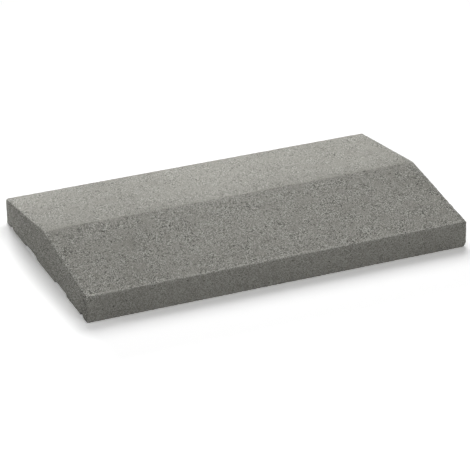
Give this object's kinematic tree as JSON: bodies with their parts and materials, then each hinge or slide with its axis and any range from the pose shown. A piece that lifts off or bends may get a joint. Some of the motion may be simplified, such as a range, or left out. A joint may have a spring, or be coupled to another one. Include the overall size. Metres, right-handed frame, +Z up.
{
  "type": "wall coping stone",
  "caption": "Double-pitched concrete coping stone that caps a garden wall, with a low ridge, drip grooves under both overhangs and shallow mortar channels in its bed.",
  "frame": {"origin": "centre of the underside, on the plane that the stone is bedded on", "axes": "+X along the ridge and the wall, +Y across the wall towards the back long face, +Z up"},
  "size_m": [0.5, 0.3, 0.0539],
  "materials": {
    "concrete": "matte"
  },
  "bodies": {
    "root": {"coping_stone": "concrete"}
  },
  "joints": []
}
